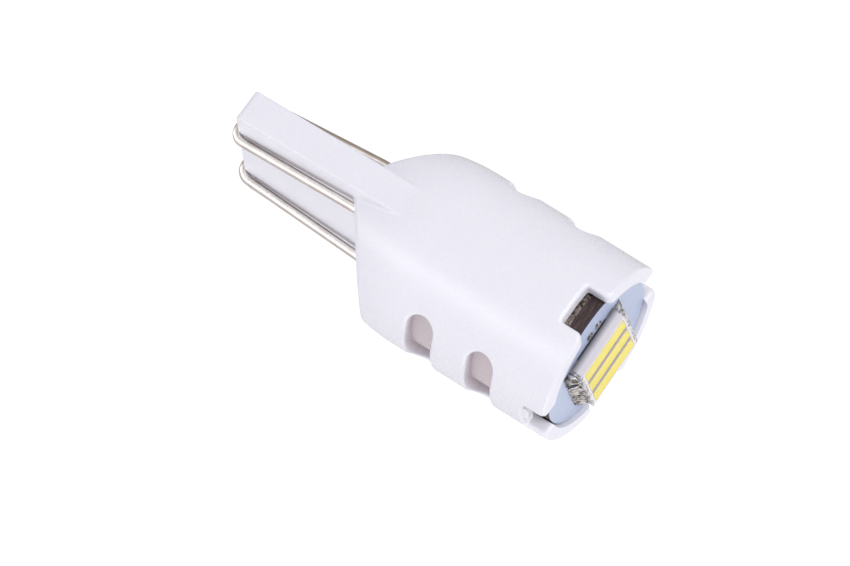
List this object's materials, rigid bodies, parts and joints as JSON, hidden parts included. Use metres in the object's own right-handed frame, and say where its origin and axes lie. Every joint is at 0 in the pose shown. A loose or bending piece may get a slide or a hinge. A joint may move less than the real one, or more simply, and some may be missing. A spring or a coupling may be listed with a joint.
{
  "type": "wedge base led bulb",
  "caption": "Small white plug-in lamp with a flat wedge base, wrapped contact wires and strip LEDs on a round board in a notched rim.",
  "frame": {"origin": "on the bulb's axis, at the shoulder where the wedge leaves the body", "axes": "+Z along the bulb's axis from the wedge towards the LEDs, X across the width of the wedge, Y across its thickness"},
  "size_m": [0.01, 0.01, 0.0223],
  "materials": {
    "white_moulding": "cool white moulded thermoplastic, fine satin grain",
    "tinned_wire": "bright tinned round wire",
    "turned_aluminium": "turned, fine tool marks",
    "masked_metal_board": "pale blue solder mask over a brown metal core",
    "solder": "reflowed solder",
    "glass_epoxy_board": "green masked glass epoxy",
    "black_epoxy": "moulded epoxy, fine grain",
    "capacitor_ceramic": "fired ceramic with plated ends",
    "resistor_glaze": "glazed film on ceramic with plated ends",
    "tinned_pin": "tinned brass",
    "led_package": "white moulded package",
    "phosphor_gel": "yellow phosphor in silicone",
    "silver_plated_lead": "silver plated"
  },
  "bodies": {
    "root": {"housing": "white_moulding", "contact_wire_a": "tinned_wire", "contact_wire_b": "tinned_wire", "heat_slug": "turned_aluminium", "led_board": "masked_metal_board", "led_solder": "solder", "pin_solder": "solder", "wire_solder": "solder", "driver_board": "glass_epoxy_board", "bridge_rectifier": "black_epoxy", "current_regulator": "black_epoxy", "filter_capacitor": "capacitor_ceramic", "sense_resistor": "resistor_glaze", "bleed_resistor": "resistor_glaze", "link_pin_a": "tinned_pin", "link_pin_b": "tinned_pin", "led_body_1": "led_package", "led_phosphor_1": "phosphor_gel", "led_leads_1": "silver_plated_lead", "led_body_2": "led_package", "led_phosphor_2": "phosphor_gel", "led_leads_2": "silver_plated_lead", "led_body_3": "led_package", "led_phosphor_3": "phosphor_gel", "led_leads_3": "silver_plated_lead"}
  },
  "joints": []
}
